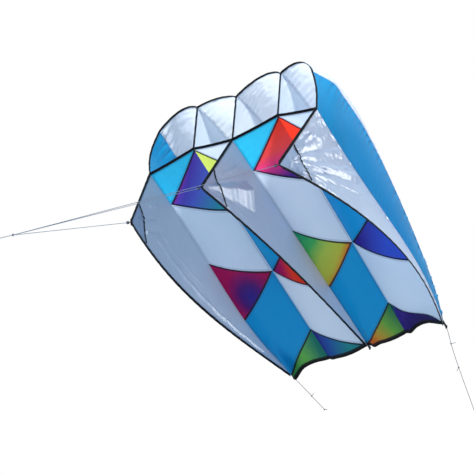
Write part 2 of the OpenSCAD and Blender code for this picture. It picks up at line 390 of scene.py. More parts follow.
def ripstop(name, colour_of, see_through, seam_shade_colour=None):
    """Coated ripstop cloth: thick threads in a square grid, fine weave, stitched seams, light through it.

    colour_of(tree) gives the dyed colour. Beside a seam the doubled cloth gets painted shade: the seam colour given,
    or else a little darker and bluer.
    """
    t = material_tree(name)
    phases = [t.phase(axis, WEAVE_PITCH) for axis in t.coordinates("flat")]
    threads = t.math("MAXIMUM", *[t.between(t.distance(phase, 0.5), 0.42, 0.47) for phase in phases])
    away, along = t.coordinates("seam")
    fold = t.between(away, SEAM_BAND, SEAM_BAND * 0.85)
    stitches = t.stitches(away, along, SEAM_BAND * 0.6, (0.0006, 0.0003), (0.7, 0.62))

    uneven = t.between(t.noise(9.0, 4.0), 0.25, 0.8)
    tint = t.blend(t.times(uneven, 0.16), colour_of(t), linear(205, 215, 235), "MULTIPLY")
    tint = t.blend(t.times(threads, 0.10), tint, linear(120, 125, 140), "MULTIPLY")
    # Painted shade: the doubled cloth beside a seam is painted darker for the light it holds back, near black on dyed
    # panels and darker and bluer on plain ones.
    if seam_shade_colour:
        tint = t.blend(t.times(fold, 0.9), tint, seam_shade_colour)
    else:
        tint = t.blend(t.times(fold, 0.35), tint, linear(170, 185, 205), "MULTIPLY")
    tint = t.blend(t.times(stitches, 0.55), tint, linear(60, 60, 70))

    weave = t.node("TexWave", {"Vector": t.node("UVMap", uv_map="flat").outputs[0], "Scale": 420.0,
                               "Distortion": 0.6, "Detail": 1.0}).outputs[1]
    normal = t.bump(weave, 0.00004)
    normal = t.bump(threads, 0.00008, normal)
    normal = t.bump(t.noise(55.0, 3.0), 0.0012, normal)
    normal = t.bump(fold, 0.0005, normal)
    gloss = t.math("MULTIPLY_ADD", t.noise(30.0), 0.22, 0.39)
    skin = t.node("BsdfPrincipled", {
        "Base Color": tint, "Roughness": gloss, "Normal": normal, "Specular IOR Level": 0.28,
        "Sheen Weight": 0.05, "Sheen Roughness": 0.35, "Coat Weight": 0.5, "Coat Roughness": 0.18})
    lit = t.node("BsdfTranslucent", {"Color": tint, "Normal": normal})
    share = t.math("MULTIPLY_ADD", fold, -0.2 * see_through, see_through)
    return t.finish(t.node("MixShader", {0: share, 1: skin.outputs[0], 2: lit.outputs[0]}).outputs[0])


def plain(colour):
    """A colour that is the same all over the cloth."""
    return lambda t: colour


def rainbow(stops, turn=None, centre=None, start=0.0, reach=1.0):
    """Dye that runs through the stops, along a direction of the panel in degrees or out from a point of it.

    The first stop's 0 lies at start along the way, and 1 lies reach further on.
    """
    def colour(t):
        across, down = t.coordinates("panel")
        if centre is None:
            way = math.radians(turn)
            place = t.math("MULTIPLY_ADD", down, math.sin(way), t.times(across, math.cos(way)))
        else:
            off_x = t.math("SUBTRACT", across, centre[0])
            off_y = t.math("SUBTRACT", down, centre[1])
            place = t.math("SQRT", t.math("MULTIPLY_ADD", off_x, off_x, t.times(off_y, off_y)))
        place = t.math("MULTIPLY_ADD", t.math("SUBTRACT", t.noise(7.0), 0.5), 0.12, place)
        place = t.math("DIVIDE", t.math("SUBTRACT", place, start), reach)
        return t.ramp(place, [(at, linear(*rgb)) for at, rgb in stops])
    return colour


def tape_material():
    """Black woven polyester tape with cross ribs and a row of stitches along its inner edge."""
    t = material_tree("edge_tape")
    around, along = t.coordinates("flat")
    stitches = t.stitches(around, along, 0.0022, (0.0007, 0.0003), (0.75, 0.65))
    faded = t.blend(t.between(t.noise(26.0, 4.0), 0.3, 0.75), linear(3, 3, 8), linear(12, 12, 18))
    colour = t.blend(t.times(stitches, 0.6), faded, linear(72, 72, 84))
    normal = t.bump(t.waves(along, 0.0012), 0.0001, t.bump(stitches, 0.0003))
    skin = t.node("BsdfPrincipled", {
        "Base Color": colour, "Roughness": 0.62, "Normal": normal, "Specular IOR Level": 0.25,
        "Sheen Weight": 0.05, "Sheen Roughness": 0.5})
    return t.finish(skin.outputs[0])


def webbing_material():
    """Black webbing: coarse weave in rows along the strap, lighter where it rises and painted shade in its hollows."""
    t = material_tree("webbing")
    around, along = t.coordinates("flat")
    cloth = t.times(t.waves(along, 0.0016), t.waves(around, 0.0011))
    colour = t.blend(t.between(cloth, -0.6, 0.9), linear(5, 5, 9), linear(34, 34, 40))
    skin = t.node("BsdfPrincipled", {"Base Color": colour, "Roughness": 0.7, "Sheen Weight": 0.2,
                                     "Sheen Roughness": 0.5, "Normal": t.bump(cloth, 0.00025)})
    return t.finish(skin.outputs[0])


def cord_material(name, light, dark):
    """Braided line: two sets of strands that cross round the cord, light on their crests and painted shade in the
    grooves between them.
    """
    t = material_tree(name)
    around, along = t.coordinates("flat")
    climb = t.times(along, 2 * PI / 0.0022)
    strands = [t.math("MULTIPLY_ADD", around, way * 2 * PI / 0.0014, climb) for way in (1, -1)]
    braid = t.math("MAXIMUM", *[t.math("SINE", strand) for strand in strands])
    colour = t.blend(t.between(braid, -0.2, 0.8), dark, light)
    skin = t.node("BsdfPrincipled", {"Base Color": colour, "Roughness": 0.55, "Sheen Weight": 0.15,
                                     "Normal": t.bump(braid, 0.0002)})
    return t.finish(skin.outputs[0])


# ---- meshes ----


def grid_object(name, points, material, maps, ring=False):
    """A grid of points (rows, columns, 3), in the row frame, as one smooth mesh with UV maps.

    maps gives each UV map its (rows, columns, 2) coordinates. ring joins the last column to the first and
    closes both ends, so that the mesh is a solid.
    """
    rows, columns = points.shape[:2]
    index = np.arange(rows * columns).reshape(rows, columns)
    ends = []
    if ring:
        ends = [index[0, ::-1].tolist(), index[-1].tolist()]
        index = np.concatenate([index, index[:, :1]], axis=1)
    quads = np.stack([index[:-1, :-1], index[:-1, 1:], index[1:, 1:], index[1:, :-1]], axis=-1).reshape(-1, 4)
    mesh = bpy.data.meshes.new(name)
    mesh.from_pydata(points.reshape(-1, 3).tolist(), [], quads.tolist() + ends)
    corner = np.array([loop.vertex_index for loop in mesh.loops])
    for key, values in maps.items():
        layer = mesh.uv_layers.new(name=key)
        per_corner = np.asarray(values, float).reshape(-1, 2)[corner]
        layer.data.foreach_set("uv", per_corner.astype(np.float32).ravel())
    mesh.polygons.foreach_set("use_smooth", [True] * len(quads) + [False] * len(ends))
    mesh.materials.append(material)
    obj = bpy.data.objects.new(name, mesh)
    bpy.context.scene.collection.objects.link(obj)
    return obj


def swept(name, path, one, two, profile, material):
    """A closed profile of (one, two) offsets in metres, swept along a path whose frame is one and two."""
    path, one, two = (np.asarray(x, float) for x in (path, one, two))
    profile = np.asarray(profile, float)
    points = path[:, None] + profile[None, :, :1] * one[:, None] + profile[None, :, 1:] * two[:, None]
    around = lengths_along(np.column_stack([profile, np.zeros(len(profile))]))
    along = lengths_along(path)
    flat = np.stack(np.broadcast_arrays(around[None, :], along[:, None]), axis=-1)
    return grid_object(name, points, material, {"flat": flat}, ring=True)


def carried_frame(path):
    """Two directions square to a path at each point, carried along it without twist."""
    way = unit(np.gradient(path, axis=0))
    start = np.cross(way[0], [0, 0, 1] if abs(way[0][2]) < 0.9 else [1, 0, 0])
    ones = [unit(start)]
    for w in way[1:]:
        ones.append(unit(ones[-1] - w * (ones[-1] @ w)))
    ones = np.array(ones)
    return ones, np.cross(way, ones)


def tube(name, path, diameter, material, sides=10):
    """A round cord along a path."""
    one, two = carried_frame(path)
    turn = 2 * PI * np.arange(sides) / sides
    return swept(name, path, one, two, diameter / 2 * np.column_stack([np.cos(turn), np.sin(turn)]), material)


def knot(name, at, way, material, size=1.0, tag=None):
    """An overhand knot drawn tight round a line, as a trefoil. tag is how far its tag end sticks out."""
    turns = np.linspace(0, 2 * PI, 49)
    loop = np.column_stack([np.sin(turns) + 2 * np.sin(2 * turns), np.cos(turns) - 2 * np.cos(2 * turns),
                            -1.5 * np.sin(3 * turns)]) * LINE_D * 0.42 * size
    forward = unit(way)
    side_way = unit(np.cross(forward, [0.3, 0.1, 1]))
    path = loop @ np.array([side_way, np.cross(forward, side_way), forward]) + at
    if tag is not None:
        path = np.vstack([path, path[-1] + np.linspace(0.1, 1, 8)[:, None] * np.asarray(tag)])
    return tube(name, path, LINE_D * 0.9, material, sides=8)


# ---- camera ----

CAMERA_AT = (2.914, -1.945, -4.102)
CAMERA_RIGHT = (0.8398, 0.5030, 0.2041)
CAMERA_AHEAD = (-0.4443, 0.4211, 0.7907)
SENSOR, LENS = 36.0, 159.5


def make_camera():
    right, ahead = Vector(CAMERA_RIGHT).normalized(), Vector(CAMERA_AHEAD).normalized()
    up = right.cross(ahead)
    data = bpy.data.cameras.new("camera")
    data.sensor_width, data.lens = SENSOR, LENS
    data.clip_start, data.clip_end = 0.1, 200
    obj = bpy.data.objects.new("camera", data)
    turn = Matrix((right, up, -ahead)).transposed()
    obj.matrix_world = Matrix.Translation(CAMERA_AT) @ turn.to_4x4()
    bpy.context.scene.collection.objects.link(obj)
    bpy.context.scene.camera = obj


make_camera()

# ---- cords ----

BRIDLE_LINE = cord_material("bridle_line", linear(226, 230, 236), linear(150, 158, 170))
TAIL_LINE = cord_material("tail_line", linear(150, 158, 166), linear(86, 94, 104))
KNOT_AT = placed(-LEADING_EDGE - LEADER * PULL)     # the tow loop bears at the origin
LOOP_EYES = placed(KEEL_TIP + LOOP_LEN * PULL)

# Routes of the two tail lines from the eyes of their tabs, and the points where they are knotted
TAIL_ROUTES = {
    "left": [[4, 9, -3], [13, 31, -10], [25, 60, -19], [32, 78, -25], [43, 104, -34], [57, 134, -46]],
    "right": [[0, 8, -5], [-1, 28, -18], [-3, 48, -31], [-4, 84, -55], [-4, 117, -76], [-3, 160, -104],
              [-1, 208, -136], [1, 250, -166]],
}
TAIL_KNOTS = {"left": (3, 5), "right": (2, 4, 7)}
TAIL_TAGS = {"left": ((0.004, 0.002, 0.014), (0.006, 0.006, 0.004)),
             "right": ((0.015, 0.003, 0.003), (-0.008, 0.004, -0.012), (0.003, 0.006, -0.003))}


def finish_piece(obj, body, slot, *nodes):
    """Puts a piece on its body, gives it its slot and lets it stand for its CAD nodes."""
    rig.ride(obj, body)
    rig.slot(obj, slot)
    if nodes:
        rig.replaces(obj, *nodes)
    return obj


def declare_line(obj, path, lay, knots):
    """Declares a line that follows the path, with the knots on it."""
    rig.cord(obj, exit=path[0], length=round(float(lengths_along(path)[-1]), 3), diameter=LINE_D,
            far_end="knot", stiffness="limp", lay=lay, path=path, with_pieces=knots)


def make_bridle():
    """Three taut legs, the knot that joins them, and the leader with its tow loop."""
    centre_knot = knot("knot_bridle", KNOT_AT, PULL, BRIDLE_LINE, size=1.5)
    finish_piece(centre_knot, "bridle", "bridle_cord", "bridle_knot")
    for name, eye in zip(SIDES, LOOP_EYES):
        path = evenly(np.array([eye, KNOT_AT]), 90)
        leg = tube("leg_" + name, path, LINE_D, BRIDLE_LINE)
        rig.blend(leg, "leg_hitches", "bridle", start=eye, end=lerp(eye, KNOT_AT, 0.06))
        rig.slot(leg, "bridle_cord")
        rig.replaces(leg, "bridle_leg_" + name)
        declare_line(leg, path, "taut", [centre_knot])

    knot_at, bend_r = 0.068, 0.007
    bend_at = LEADER - bend_r
    arc = [(bend_r * math.cos(a), bend_at + bend_r * math.sin(a)) for a in np.linspace(0, PI, 21)]
    neck = knot_at + 0.004
    outline = [(0, 0), (0, knot_at), (0.0022, neck)] + arc + [(-0.0022, neck), (0, knot_at)]
    path = evenly(KNOT_AT + np.array([[across, 0, 0] + down * PULL for across, down in outline]), 120)
    line = finish_piece(tube("line_tow", path, LINE_D, BRIDLE_LINE), "bridle", "bridle_cord", "tow_line")
    tied = knot("knot_tow", KNOT_AT + knot_at * PULL, PULL, BRIDLE_LINE, tag=(0.006, -0.002, -0.006))
    declare_line(line, path, "taut", [finish_piece(tied, "bridle", "bridle_cord")])


def make_tails():
    """The two short lines that tails are tied to, from their tabs' eyes, with overhand knots along them."""
    for name, x in (("left", -1), ("right", 1)):
        eye = placed([x * TAB_EYE_X, TAB_EYE_Y, 0])
        route = eye + 0.001 * np.array(TAIL_ROUTES[name])
        path = rounded(np.vstack([eye, route]), 140)
        body = "tail_" + name
        line = finish_piece(tube(body, path, LINE_D, TAIL_LINE), body, "tail_cord", "tail_line_" + name)
        knots = []
        for n, (at, tag) in enumerate(zip(TAIL_KNOTS[name], TAIL_TAGS[name])):
            way = route[at] - route[at - 1]
            tied = knot(f"knot_tail_{name}_{n + 1}", route[at], way, TAIL_LINE, tag=tag)
            knots.append(finish_piece(tied, body, "tail_cord"))
        declare_line(line, path, "hanging", knots)


make_bridle()
make_tails()

# ---- shape of the inflated kite, from the centre of the bottom leading edge ----


def side(rib):
    return (rib > 2) - (rib < 2)


def is_end(rib):
    return rib in (0, 4)


def end_x(s):
    return SPAN / 2 - 0.020 * s + 0.028 * np.sin(PI * np.maximum(s, 0) ** 2)


def rib_x(rib, s):
    return side(rib) * (end_x(s) if is_end(rib) else INNER_HALF - 0.012 * s)


def foot_z(rib, s):
    return 0.014 + 0.011 * s if rib == 2 else 0 * s if is_end(rib) else 0.058 - 0.038 * s


def section(s):
    """Height of an end rib's crown above its foot."""
    s = np.asarray(s, float)
    nose = CROWN_H - (CROWN_H - MOUTH_H) * ((CREST - s) / (CREST - FRONT_S)) ** 2
    tail = CROWN_H * (1 - 1.12 * (s - CREST) ** 2 / np.maximum(s - 0.08, 0.05))
    return np.where(s < CREST, nose, tail) * (1 - np.maximum(s, 0) ** 20)


def crown_x(rib, s):
    if not is_end(rib):
        return rib_x(rib, s)
    lean = RIB_LEAN * np.maximum(0, 1 - (s - FRONT_S) / LEAN_REACH[rib]) ** 1.5
    lean = lean - SHOULDER[rib] * np.exp(-(((s - 0.03) / 0.05) ** 2))
    return side(rib) * (SPAN / 2 + 0.002 - 0.022 * s + 0.020 * np.sin(PI * np.maximum(s, 0)) - lean)


CROWN_LIFT = {0: 0.013, 4: 0.007}              # how far the wind lifts an end rib's crown at the mouth


def crown_point(rib, s):
    scale = {0: 1, 1: 1.12, 2: 1.17, 3: 1.12, 4: 1}[rib]
    lift = CROWN_LIFT.get(rib, 0) * np.exp((FRONT_S - s) / 0.15)
    height = foot_z(rib, s) + TAPE_T + scale * section(s) + lift
    return stacked(crown_x(rib, s), CHORD * s, height)


def foot_point(rib, s):
    return stacked(rib_x(rib, s), CHORD * s, foot_z(rib, s))


def across(a, b):
    """Upward direction square to the line from a to b, in the plane of the cross section."""
    d = b - a
    return unit(np.stack([-d[..., 2], 0 * d[..., 0], d[..., 0]], -1))


def bottom_belly(s):
    return 0.004 + 0.018 * np.sin(PI / 2 * np.minimum(1, 2 * s))


# Height of each cell's arch. The wind has pressed cell 2 down and filled cell 3
ARCHES = {1: OUTER_ARCH + 0.004, 2: INNER_ARCH - 0.016, 3: INNER_ARCH + 0.015, 4: OUTER_ARCH + 0.003}
ARCH_SKEW = {1: 0.5}          # how far the wind pushes a cell's fullness to its left


def top_belly(cell, s):
    s = np.maximum(s, 0)
    return ARCHES[cell] * (1 - s ** 3) - 0.022 * s ** 8


def rise(a, b, s):
    """The way a cell's arch rises: straight up at its mouth, and square to the line from a to b behind it."""
    return unit(lerp(np.array([0, 0, 1.0]), across(a, b), smooth(FRONT_S, 0.12, s)[..., None]))


# How the slack trailing edge is blown between two ribs: its rise in the middle, a pleat's dip and place,
# and the station where it starts
FLUTTER = {1: (0.036, -0.046, 0.15, 0.80), 2: (0.002, -0.004, 0.10, 0.80), 3: (0.004, -0.012, 0.22, 0.82),
           4: (0.050, -0.014, 0.16, 0.88)}


def flutter(cell, u, s):
    lift, dip, place, start = FLUTTER[cell]
    pleat = dip * np.exp(-(((u - place) / 0.08) ** 2)) * smooth(0, 0.06, u)
    return smooth(start, 1.0, s) * (lift * np.sin(PI * u) ** 1.2 + pleat)


def top_point(cell, u, s):
    a, b = crown_point(cell - 1, s), crown_point(cell, s)
    u = np.clip(u, 0, 1)
    skew = 1 + ARCH_SKEW.get(cell, 0) * (0.5 - u) * (1 - np.maximum(s, 0))
    arched = (top_belly(cell, s) * skew * (4 * u * (1 - u)) ** 0.9)[..., None]
    point = lerp(a, b, u[..., None]) + rise(a, b, s) * arched
    point[..., 2] += flutter(cell, u, s)
    return point


def bottom_point(cell, u, s):
    a, b = foot_point(cell - 1, s), foot_point(cell, s)
    u = np.clip(u, 0, 1)
    point = lerp(a, b, u[..., None]) - across(a, b) * (bottom_belly(s) * 4 * u * (1 - u))[..., None]
    point[..., 2] += flutter(cell, u, s)
    return point


def keel_edge(k, s):
    """Free edge of a keel, from its tip to the trailing edge."""
    end = foot_point(KEEL_RIB[k], 1.0) - [0, 0, ROOT_GAP]
    s = np.asarray(s, float)
    edge = lerp(KEEL_TIP[k], end, s[..., None])
    edge = edge + np.sin(PI * s ** 0.9)[..., None] * [(k - 1) * KEEL_BULGE + BLOWN[k], 0, KEEL_HOLLOW[k]]
    return edge + np.sin(PI * s ** 2)[..., None] * [BLOWN_BACK[k], 0, 0]


def keel_point(k, s, v):
    """v is 0 at the root seam and 1 at the free edge."""
    return lerp(foot_point(KEEL_RIB[k], s), keel_edge(k, s), np.asarray(v)[..., None])


# ---- wrinkles ----


def ripple(along, pitch, seed):
    """Irregular waves of about that pitch, between about -1 and 1: a sum of five."""
    draw = np.random.default_rng(seed)
    lengths, phases = draw.uniform(0.6, 1.7, 5), draw.uniform(0, 2 * PI, 5)
    weights = draw.uniform(0.4, 1, 5)
    waves = [w * np.sin(2 * PI * along / (pitch * n) + p) for n, p, w in zip(lengths, phases, weights)]
    return sum(waves) / weights.sum() * 1.6


def creases(along, pitch, seed):
    """Irregular folds with sharp ridges and round valleys, between about -1 and 1."""
    return 1 - 2 * np.sqrt(np.abs(ripple(along, 2 * pitch, seed)) + 0.01)


def puckers(away, along, seed, reach, height, pitch):
    """Gathers beside a seam: they start at the seam, run square to it and die out at the given reach."""
    start = 1 - np.exp(-away / 0.006)
    return height * start * np.exp(-away / reach) * creases(along + 0.3 * away, pitch, seed)


def facets(across, along, seed):
    """Crumpled cloth: hollows about one unit wide with sharp creases between them, about -0.5 to 0.5."""
    height = np.zeros(np.broadcast(across, along).shape)
    for n, size in enumerate((1.0, 0.45)):
        draw = np.random.default_rng(seed + 17 * n)
        x, y = across / size, along / size
        cell_x, cell_y = np.floor(x), np.floor(y)
        low = np.array([cell_x.min(), cell_y.min()]) - 2
        counts = (np.array([cell_x.max(), cell_y.max()]) - low + 3).astype(int)
        spots = draw.uniform(0.1, 0.9, (*counts, 3))
        best = np.full(height.shape, 9.0)
        for step_x in (-1, 0, 1):
            for step_y in (-1, 0, 1):
                i, j = (cell_x + step_x - low[0]).astype(int), (cell_y + step_y - low[1]).astype(int)
                spot = spots[i, j]
                gap_x, gap_y = x - cell_x - step_x - spot[..., 0], y - cell_y - step_y - spot[..., 1]
                best = np.minimum(best, np.hypot(gap_x, gap_y) + 0.5 * spot[..., 2])
        height += size * best
    return height / 1.45 - 0.5


def soft_noise(points, scale, seed):
    """Smooth noise of the given scale at each point, about -1 to 1."""
    flat = points.reshape(-1, 3) * scale + seed * 7.31
    return np.array([noise.noise(Vector(p)) for p in flat]).reshape(points.shape[:-1])


def square_to(grid):
    """Unit normals of a grid of points."""
    return unit(np.cross(np.gradient(grid, axis=1), np.gradient(grid, axis=0)))


# ---- cloth ----

CLOTHS = {
    "white": ripstop("cloth_white", plain(linear(230, 237, 244)), 0.46),
    # The keels' cloth is the white ripstop again, painted bluer and darker: painted shade of the keels that hang under
    # the canopy
    "keel": ripstop("cloth_keel", plain(linear(206, 222, 240)), 0.46),
    "cyan": ripstop("cloth_cyan", plain(linear(54, 204, 238)), 0.56),
    "blue": ripstop("cloth_blue", plain(linear(10, 160, 214)), 0.56),
}
# Painted shade along the seams of the dyed panels, where the doubled cloth holds back the light
SEAM_SHADE = linear(10, 10, 26)
PURPLE, INDIGO = (100, 50, 170), (60, 38, 140)
CRIMSON, RED, ORANGE, PINK = (200, 18, 90), (255, 60, 36), (245, 120, 40), (246, 60, 130)
OLIVE, TEAL, DEEP_BLUE = (186, 192, 64), (44, 146, 150), (62, 92, 206)

# The dyed panels, by cell and letter. A panel's square runs from left rib to right rib, and down the chord
DYES = {
    "1b": rainbow(((0.00, (150, 44, 140)), (0.10, (96, 68, 180)), (0.34, (98, 108, 206)),
                   (0.80, (54, 164, 176))), turn=63, start=0.42, reach=0.9),
    "2b": rainbow(((0.10, (204, 218, 96)), (0.60, (204, 218, 96)), (0.95, OLIVE)), turn=40),
    "1d": rainbow(((0.06, INDIGO), (0.22, (92, 30, 120)), (0.44, CRIMSON)), centre=(0.42, 0.68)),
    "2d": rainbow(((0.10, PURPLE), (0.26, (150, 30, 110)), (0.46, CRIMSON), (0.66, RED)), turn=20),
    "3b": rainbow(((0.10, RED), (0.38, (255, 78, 76)), (0.54, PINK), (0.76, (84, 44, 140))), turn=90),
    "4b": rainbow(((0.10, RED), (0.55, RED), (0.95, ORANGE)), turn=30),
    "3d": rainbow(((0.06, (36, 158, 112)), (0.36, (80, 190, 96)), (0.56, (196, 214, 84)),
                   (0.78, (214, 206, 72)), (0.90, ORANGE)), turn=60),
    "4d": rainbow(((0.06, PURPLE), (0.40, INDIGO), (0.90, DEEP_BLUE)), turn=30),
    # 1f starts dark purple at its left corner: painted shade of the pleat that the slack trailing edge throws there
    "1f": rainbow(((0.06, (44, 22, 92)), (0.22, (50, 150, 84)), (0.55, (120, 196, 86)),
                   (1.0, (36, 132, 110))), turn=8),
    "2f": rainbow(((0.05, INDIGO), (0.36, (40, 90, 170)), (0.80, TEAL)), turn=15),
    "3f": rainbow(((0.04, ORANGE), (0.28, (214, 170, 60)), (0.60, (122, 186, 74)),
                   (1.0, (30, 120, 90))), turn=-12),
    "4f": rainbow(((0.04, (24, 100, 84)), (0.14, INDIGO), (0.6, (44, 30, 96))), turn=10),
}
# The plain panels' colours in odd and even cells
PLAIN_PANELS = {"a": ("cyan", "white"), "c": ("white", "blue"), "e": ("blue", "white")}


def nearest(*edges):
    """For each point the (away, along) pair of the edge that it is nearest to."""
    away = np.stack(np.broadcast_arrays(*[e[0] for e in edges]))
    along = np.stack(np.broadcast_arrays(*[e[1] for e in edges]))
    pick = away.argmin(axis=0)[None]
    return np.stack([np.take_along_axis(away, pick, 0)[0], np.take_along_axis(along, pick, 0)[0]], -1)


def cut_size(grid):
    """Width, length and area of the flat cut that a grid of cloth was sewn from."""
    across_grid = np.linalg.norm(np.diff(grid, axis=1), axis=2).sum(axis=1).max()
    down_grid = np.linalg.norm(np.diff(grid, axis=0), axis=2).sum(axis=0).max()
    one, two = grid[1:, 1:] - grid[:-1, :-1], grid[1:, :-1] - grid[:-1, 1:]
    area = np.linalg.norm(np.cross(one, two), axis=2).sum() / 2
    return float(across_grid), float(down_grid), float(area)


def sewn(name, grid, maps, material, colour, node, rests_on, body="canopy", held="stretched"):
    """One piece of cloth that stands for its CAD node, with its flat cut declared. Keels have no one body."""
    obj = grid_object(name, grid, material, maps)
    if body:
        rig.ride(obj, body)
    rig.replaces(obj, node)
    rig.slot(obj, colour + "_ripstop")
    width, length, area = cut_size(grid)
    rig.sheet(obj, flat=(round(width, 3), round(length, 3)), held=held, rests_on=rests_on,
             area=round(min(area, 0.98 * width * length), 5))
    return obj


def ribs_of(cell):
    return [f"cloth_rib_{cell - 1}", f"cloth_rib_{cell}"]


def cell_width(cell):
    return INNER_HALF if cell in (2, 3) else OUTER_CELL


def bottom_cloth(cell, u, s):
    """The bottom skin with its small wrinkles, the same on both sides of every seam."""
    point = bottom_point(cell, u, s)
    width, along = cell_width(cell), CHORD * s
    lift = puckers(u * width, along, 31 * cell, 0.030, 0.0011, 0.022)
    lift = lift + puckers((1 - u) * width, along, 31 * cell + 7, 0.030, 0.0011, 0.022)
    lift = lift + 0.0022 * soft_noise(point * [1, 0.6, 1], 14, cell) * 4 * u * (1 - u)
    lift = lift * within(0.03, s)
    return placed(point - across(foot_point(cell - 1, s), foot_point(cell, s)) * lift[..., None])


def make_bottom_panel(cell, n):
    """One panel of the bottom skin, between two seam lines that slant across the cell."""
    seams = ODD_SEAMS if cell % 2 else EVEN_SEAMS
    name = f"{cell}{LETTERS[n]}"
    near, far = (np.array(seams[m]) / 7 for m in (n, n + 1))
    u, v = np.meshgrid(np.linspace(0, 1, 33), np.linspace(0, 1, 31))
    front, back = lerp(*near, u), lerp(*far, u)
    s = lerp(front, back, v)
    grid = bottom_cloth(cell, u, s)
    width = cell_width(cell)
    slant = math.hypot(width, CHORD * (near[1] - near[0])) / width
    along = u * width * slant
    edges = [(CHORD * (s - front) / slant, along), (CHORD * (back - s) / slant, along)]
    if name in DYES:
        colour, material = "dyed", ripstop("cloth_dyed_" + name, DYES[name], 0.70, SEAM_SHADE)
    else:
        colour = PLAIN_PANELS[LETTERS[n]][(cell + 1) % 2]
        material = CLOTHS[colour]
        edges += [(u * width, CHORD * s), ((1 - u) * width, CHORD * s)]
    first, last = min(near), max(far)
    maps = {"flat": np.stack([(u + cell) * width, CHORD * s], -1), "seam": nearest(*edges),
            "panel": np.stack([u, (s - first) / (last - first)], -1)}
    sewn("cloth_bottom_" + name, grid, maps, material, colour, "bottom_panel_" + name, ribs_of(cell))


def make_top_panel(cell):
    """The top skin over one cell, gathered where it is sewn to its ribs, most of all at the mouth."""
    u, s = np.meshgrid(np.linspace(0, 1, 49), lerp(FRONT_S, 1, np.linspace(0, 1, 161) ** 1.5))
    grid = top_point(cell, u, s)
    left = np.linalg.norm(grid - grid[:, :1], axis=2)
    right = np.linalg.norm(grid - grid[:, -1:], axis=2)
    along = CHORD * (s - FRONT_S)
    force = lerp(0.35, 1.0, np.exp(-along / 0.16)) * smooth(0, 0.012, along) * smooth(0, 0.02, 1 - s)
    gathers = puckers(left, along, 5 * cell, 0.050, 0.0090, 0.024)
    gathers = gathers + puckers(right, along, 5 * cell + 2, 0.040, 0.0080, 0.021)
    crumple = 0.006 * facets(left / 0.035 + 0.4 * along / 0.035, along / 0.030, 60 + cell)
    crumple = crumple + 0.003 * soft_noise(grid, 11, cell + 4)
    seam_away = np.minimum(left, right)
    lift = (gathers * force + crumple * smooth(0, 0.03, seam_away)) * smooth(0, 0.004, seam_away)
    grid = placed(grid + square_to(grid) * lift[..., None])
    arc = np.cumsum(np.linalg.norm(np.diff(grid, axis=1, prepend=grid[:, :1]), axis=2), axis=1)
    maps = {"flat": np.stack([arc + 0.2 * cell, along], -1),
            "seam": nearest((left, along), (right, along), (along, arc), (CHORD * (1 - s), arc))}
    sewn(f"cloth_top_{cell}", grid, maps, CLOTHS["white"], "white", f"top_panel_{cell}", ribs_of(cell))


RIB_BOW = {0: 0.015, 4: 0.007}      # how far an end rib is blown outwards at the middle of the mouth


def rib_point(rib, r, v):
    """r runs from the front edge to the tail and v from the foot to the crown."""
    low, high = foot_point(rib, r), crown_point(rib, lerp(FRONT_S, 1, r))
    height = np.linalg.norm(high - low, axis=-1) / MOUTH_H
    bow = RIB_BOW.get(rib, 0) * side(rib) * np.sin(PI * v) * height
    return lerp(low, high, np.asarray(v)[..., None]) + np.stack([bow, 0 * bow, 0 * bow], -1)


def make_rib(rib):
    v, r = np.meshgrid(np.linspace(0, 1, 33), np.linspace(0, 1, 201) ** 1.3)
    grid = rib_point(rib, r, v)
    under = np.linalg.norm(grid - grid[:, :1], axis=2)
    over = np.linalg.norm(grid - grid[:, -1:], axis=2)
    along = CHORD * r
    height = 0.0085 if is_end(rib) else 0.0024
    gathers = puckers(over, along, 90 + rib, 0.034, height, 0.026)
    gathers = gathers + puckers(under, along, 95 + rib, 0.018, 0.4 * height, 0.02)
    lift = gathers * smooth(0, 0.02, along) + 0.0028 * soft_noise(grid, 9, rib) * np.sin(PI * v) ** 0.6
    lift = lift * smooth(0, 0.03, 1 - r) * smooth(-0.01, 0.02, along)
    way = side(rib) if is_end(rib) else 1
    grid[..., 0] += way * lift
    grid = placed(grid)
    maps = {"flat": grid[..., 1:], "seam": nearest((under, along), (over, along), (along, under))}
    colour = "blue" if is_end(rib) else "white"
    below = [f"cloth_bottom_{max(rib, 1)}a"]
    sewn(f"cloth_rib_{rib}", grid, maps, CLOTHS[colour], colour, f"rib_{rib}", below)


KEEL_ROWS, KEEL_COLUMNS = 181, 97

# The folds of each keel, listed: start and end as (s, v), and the width of the lower flank there
FOLDS = (
    (((0.055, 0.44), (0.085, 0.28), 0.010, 0.016), ((0.02, 0.84), (0.12, 0.52), 0.006, 0.016),
     ((0.10, 0.84), (0.17, 0.62), 0.014, 0.014), ((0.17, 0.72), (0.86, 0.55), 0.014, 0.008),
     ((0.20, 0.58), (0.46, 0.52), 0.006, 0.004)),
    (((0.005, 0.93), (0.185, 0.34), 0.004, 0.075), ((0.04, 0.60), (0.075, 0.24), 0.006, 0.012)),
    (((0.02, 0.90), (0.30, 0.10), 0.010, 0.030), ((0.02, 0.86), (0.18, 0.04), 0.010, 0.034),
     ((0.02, 0.80), (0.09, 0.04), 0.010, 0.030), ((0.05, 0.93), (0.34, 0.42), 0.010, 0.007),
     ((0.03, 0.60), (0.04, 0.15), 0.008, 0.018), ((0.12, 0.70), (0.24, 0.20), 0.006, 0.018)),
)
# How far the lower flanks face down, which is where each keel's glint lamp shines on it
FLANK_TILT = (0.38, 0.22, 0.24)
# Height of the fine crumples, and of the gathers beside the root seam
CRUMPLE = (0.0014, 0.0012, 0.0042)
ROOT_GATHERS = (0.0006, 0.0004, 0.0036)


